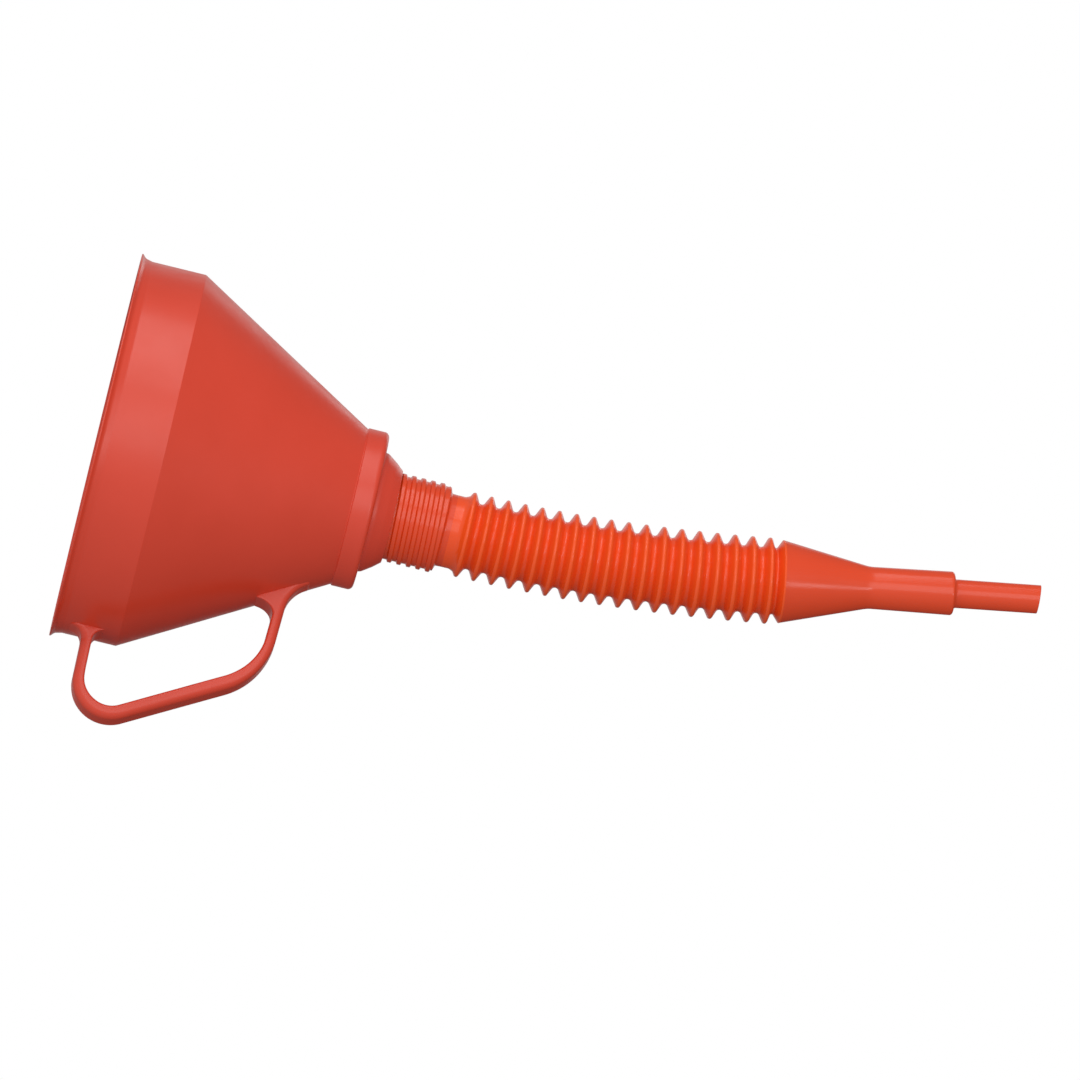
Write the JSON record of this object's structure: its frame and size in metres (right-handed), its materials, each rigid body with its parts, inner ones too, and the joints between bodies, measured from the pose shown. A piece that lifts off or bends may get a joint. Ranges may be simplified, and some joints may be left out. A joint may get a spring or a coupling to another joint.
{
  "type": "fuel funnel with bellows spout",
  "caption": "Plastic pouring funnel with a wide flared bowl, a strap handle, a strainer in its collar and a screwed-in bellows spout that bends and tapers to a narrow tip.",
  "frame": {"origin": "middle of the footprint on the surface that the funnel stands on, upside down on its mouth; the bowl's axis passes 16.6 mm towards -X of it", "axes": "+Z along the bowl's axis from the mouth towards the spout, +X towards the handle"},
  "size_m": [0.1932, 0.16, 0.3895],
  "materials": {
    "bowl": "satin coral-red polyethylene",
    "handle": "satin coral-red polyethylene",
    "strainer_ring": "satin red polyethylene",
    "strainer_gauze": "woven brass wire",
    "spout": "slightly glossy orange-red soft polyethylene"
  },
  "bodies": {
    "bowl": {"bowl": "bowl", "handle": "handle"},
    "strainer": {"strainer_ring": "strainer_ring", "strainer_gauze": "strainer_gauze"},
    "spout_base": {"spout_neck": "spout"},
    "bellows_01": {"bellows_01": "spout"},
    "bellows_02": {"bellows_02": "spout"},
    "bellows_03": {"bellows_03": "spout"},
    "bellows_04": {"bellows_04": "spout"},
    "bellows_05": {"bellows_05": "spout"},
    "bellows_06": {"bellows_06": "spout"},
    "bellows_07": {"bellows_07": "spout"},
    "bellows_08": {"bellows_08": "spout"},
    "bellows_09": {"bellows_09": "spout"},
    "bellows_10": {"bellows_10": "spout"},
    "bellows_11": {"bellows_11": "spout"},
    "bellows_12": {"bellows_12": "spout"},
    "bellows_13": {"bellows_13": "spout"},
    "bellows_14": {"bellows_14": "spout"},
    "bellows_15": {"bellows_15": "spout"},
    "bellows_16": {"bellows_16": "spout"},
    "bellows_17": {"bellows_17": "spout"},
    "bellows_18": {"bellows_18": "spout"},
    "nozzle": {"spout_nozzle": "spout"}
  },
  "joints": [
    {"name": "strainer_lift", "type": "slide", "parent": "bowl", "child": "strainer", "axis": [0, 0, -1], "range_m": [0, 0.1]},
    {"name": "spout_turn", "type": "hinge", "parent": "bowl", "child": "spout_base", "pos_m": [-0.01663, 0, 0.15084], "axis": [0, 0, 1], "range_deg": [-180, 180]},
    {"name": "bend_lower", "type": "hinge", "parent": "spout_base", "child": "bellows_01", "pos_m": [-0.01663, 0, 0.15084], "axis": [0, -1, 0], "range_deg": [-5, 4], "stiffness_Nm_per_rad": 3},
    {"name": "bend_02", "type": "hinge", "parent": "bellows_01", "child": "bellows_02", "pos_m": [-0.01665, 0, 0.15816], "axis": [0, -1, 0], "range_deg": [-5, 4], "stiffness_Nm_per_rad": 3},
    {"name": "bend_03", "type": "hinge", "parent": "bellows_02", "child": "bellows_03", "pos_m": [-0.01675, 0, 0.16548], "axis": [0, -1, 0], "range_deg": [-5, 4], "stiffness_Nm_per_rad": 3},
    {"name": "bend_04", "type": "hinge", "parent": "bellows_03", "child": "bellows_04", "pos_m": [-0.01693, 0, 0.1728], "axis": [0, -1, 0], "range_deg": [-5, 4], "stiffness_Nm_per_rad": 3},
    {"name": "bend_05", "type": "hinge", "parent": "bellows_04", "child": "bellows_05", "pos_m": [-0.0172, 0, 0.18011], "axis": [0, -1, 0], "range_deg": [-5, 4], "stiffness_Nm_per_rad": 3},
    {"name": "bend_06", "type": "hinge", "parent": "bellows_05", "child": "bellows_06", "pos_m": [-0.01755, 0, 0.18742], "axis": [0, -1, 0], "range_deg": [-5, 4], "stiffness_Nm_per_rad": 3},
    {"name": "bend_07", "type": "hinge", "parent": "bellows_06", "child": "bellows_07", "pos_m": [-0.01797, 0, 0.19473], "axis": [0, -1, 0], "range_deg": [-5, 4], "stiffness_Nm_per_rad": 3},
    {"name": "bend_08", "type": "hinge", "parent": "bellows_07", "child": "bellows_08", "pos_m": [-0.01848, 0, 0.20203], "axis": [0, -1, 0], "range_deg": [-5, 4], "stiffness_Nm_per_rad": 3},
    {"name": "bend_09", "type": "hinge", "parent": "bellows_08", "child": "bellows_09", "pos_m": [-0.01908, 0, 0.20933], "axis": [0, -1, 0], "range_deg": [-5, 4], "stiffness_Nm_per_rad": 3},
    {"name": "bend_10", "type": "hinge", "parent": "bellows_09", "child": "bellows_10", "pos_m": [-0.01975, 0, 0.21662], "axis": [0, -1, 0], "range_deg": [-5, 4], "stiffness_Nm_per_rad": 3},
    {"name": "bend_upper", "type": "hinge", "parent": "bellows_10", "child": "bellows_11", "pos_m": [-0.0205, 0, 0.2239], "axis": [0, -1, 0], "range_deg": [-5, 4], "stiffness_Nm_per_rad": 3},
    {"name": "bend_12", "type": "hinge", "parent": "bellows_11", "child": "bellows_12", "pos_m": [-0.02132, 0, 0.23117], "axis": [0, -1, 0], "range_deg": [-5, 4], "stiffness_Nm_per_rad": 3},
    {"name": "bend_13", "type": "hinge", "parent": "bellows_12", "child": "bellows_13", "pos_m": [-0.0222, 0, 0.23844], "axis": [0, -1, 0], "range_deg": [-5, 4], "stiffness_Nm_per_rad": 3},
    {"name": "bend_14", "type": "hinge", "parent": "bellows_13", "child": "bellows_14", "pos_m": [-0.02313, 0, 0.2457], "axis": [0, -1, 0], "range_deg": [-5, 4], "stiffness_Nm_per_rad": 3},
    {"name": "bend_15", "type": "hinge", "parent": "bellows_14", "child": "bellows_15", "pos_m": [-0.02413, 0, 0.25295], "axis": [0, -1, 0], "range_deg": [-5, 4], "stiffness_Nm_per_rad": 3},
    {"name": "bend_16", "type": "hinge", "parent": "bellows_15", "child": "bellows_16", "pos_m": [-0.02518, 0, 0.2602], "axis": [0, -1, 0], "range_deg": [-5, 4], "stiffness_Nm_per_rad": 3},
    {"name": "bend_17", "type": "hinge", "parent": "bellows_16", "child": "bellows_17", "pos_m": [-0.0263, 0, 0.26743], "axis": [0, -1, 0], "range_deg": [-5, 4], "stiffness_Nm_per_rad": 3},
    {"name": "bend_18", "type": "hinge", "parent": "bellows_17", "child": "bellows_18", "pos_m": [-0.02748, 0, 0.27466], "axis": [0, -1, 0], "range_deg": [-5, 4], "stiffness_Nm_per_rad": 3},
    {"name": "bend_19", "type": "hinge", "parent": "bellows_18", "child": "nozzle", "pos_m": [-0.02871, 0, 0.28187], "axis": [0, -1, 0], "range_deg": [-5, 4], "stiffness_Nm_per_rad": 3}
  ],
  "couplings": [
    {"joint": "bend_02", "follows": "bend_lower", "ratio": 1},
    {"joint": "bend_03", "follows": "bend_lower", "ratio": 1},
    {"joint": "bend_04", "follows": "bend_lower", "ratio": 1},
    {"joint": "bend_05", "follows": "bend_lower", "ratio": 1},
    {"joint": "bend_06", "follows": "bend_lower", "ratio": 1},
    {"joint": "bend_07", "follows": "bend_lower", "ratio": 1},
    {"joint": "bend_08", "follows": "bend_lower", "ratio": 1},
    {"joint": "bend_09", "follows": "bend_lower", "ratio": 1},
    {"joint": "bend_10", "follows": "bend_lower", "ratio": 1},
    {"joint": "bend_12", "follows": "bend_upper", "ratio": 1},
    {"joint": "bend_13", "follows": "bend_upper", "ratio": 1},
    {"joint": "bend_14", "follows": "bend_upper", "ratio": 1},
    {"joint": "bend_15", "follows": "bend_upper", "ratio": 1},
    {"joint": "bend_16", "follows": "bend_upper", "ratio": 1},
    {"joint": "bend_17", "follows": "bend_upper", "ratio": 1},
    {"joint": "bend_18", "follows": "bend_upper", "ratio": 1},
    {"joint": "bend_19", "follows": "bend_upper", "ratio": 1}
  ]
}
